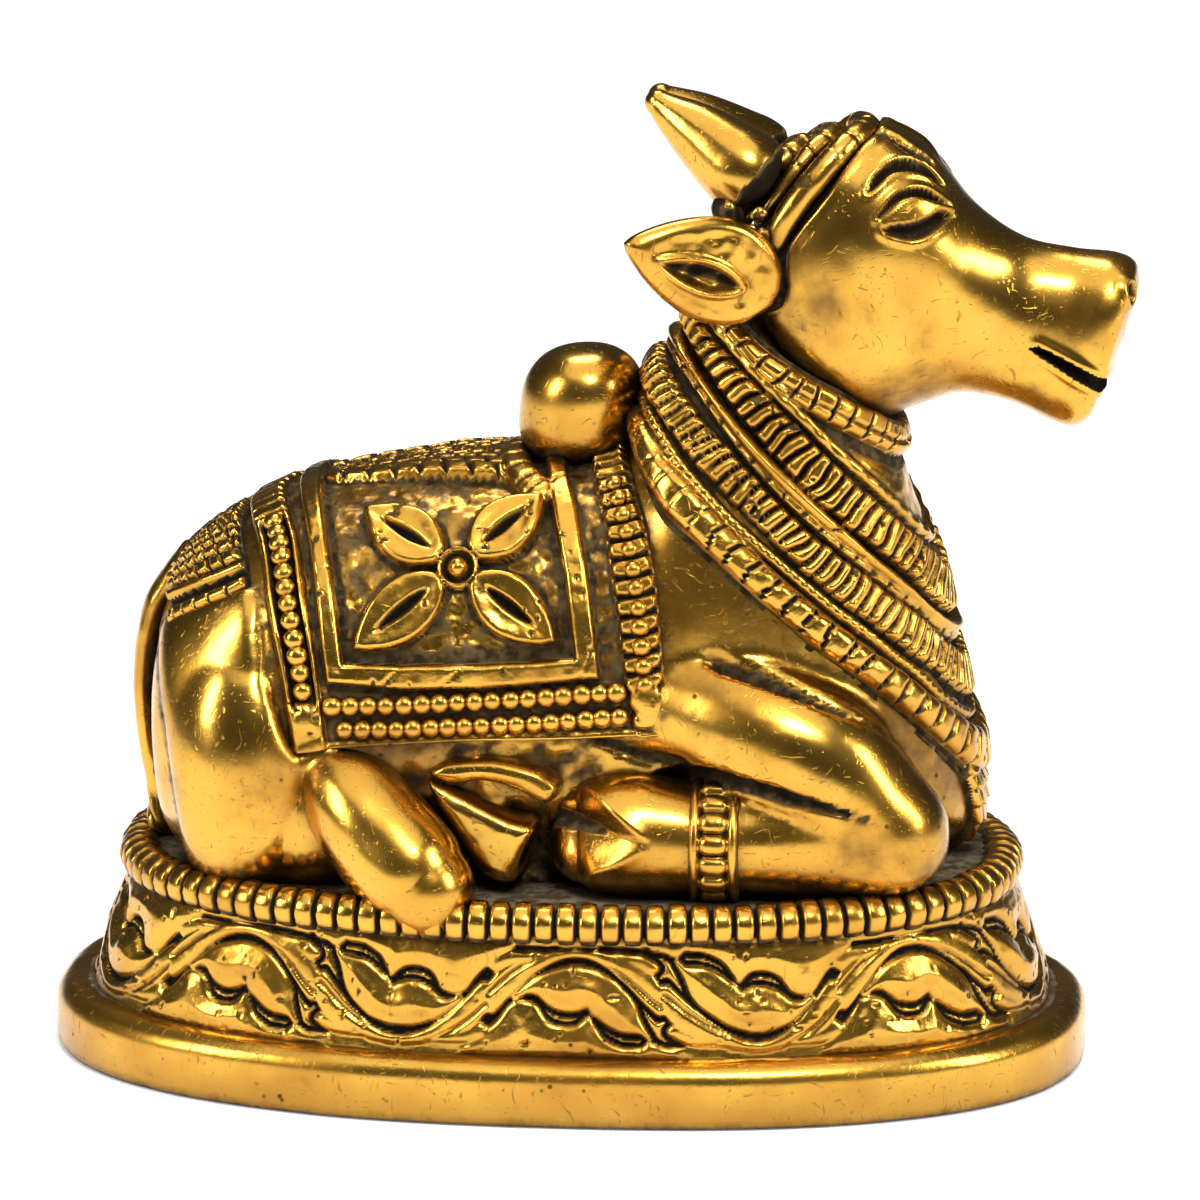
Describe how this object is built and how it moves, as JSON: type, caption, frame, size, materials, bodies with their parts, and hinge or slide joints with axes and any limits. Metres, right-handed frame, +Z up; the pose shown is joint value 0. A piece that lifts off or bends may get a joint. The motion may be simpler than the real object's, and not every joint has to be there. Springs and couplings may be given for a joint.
{
  "type": "nandi bull figure",
  "caption": "Seated bull figure in cast brass with saddle cloth, necklaces and horns, lying on an oval base with a carved vine band and a rope rim.",
  "frame": {"origin": "centre of the oval base's flat underside", "axes": "+X towards the bull's head, -Y towards its right flank, +Z up"},
  "size_m": [0.1554, 0.086, 0.1421],
  "materials": {
    "brass": "polished, with dark patina in the recesses"
  },
  "bodies": {
    "root": {"nandi_bull": "brass"}
  },
  "joints": []
}
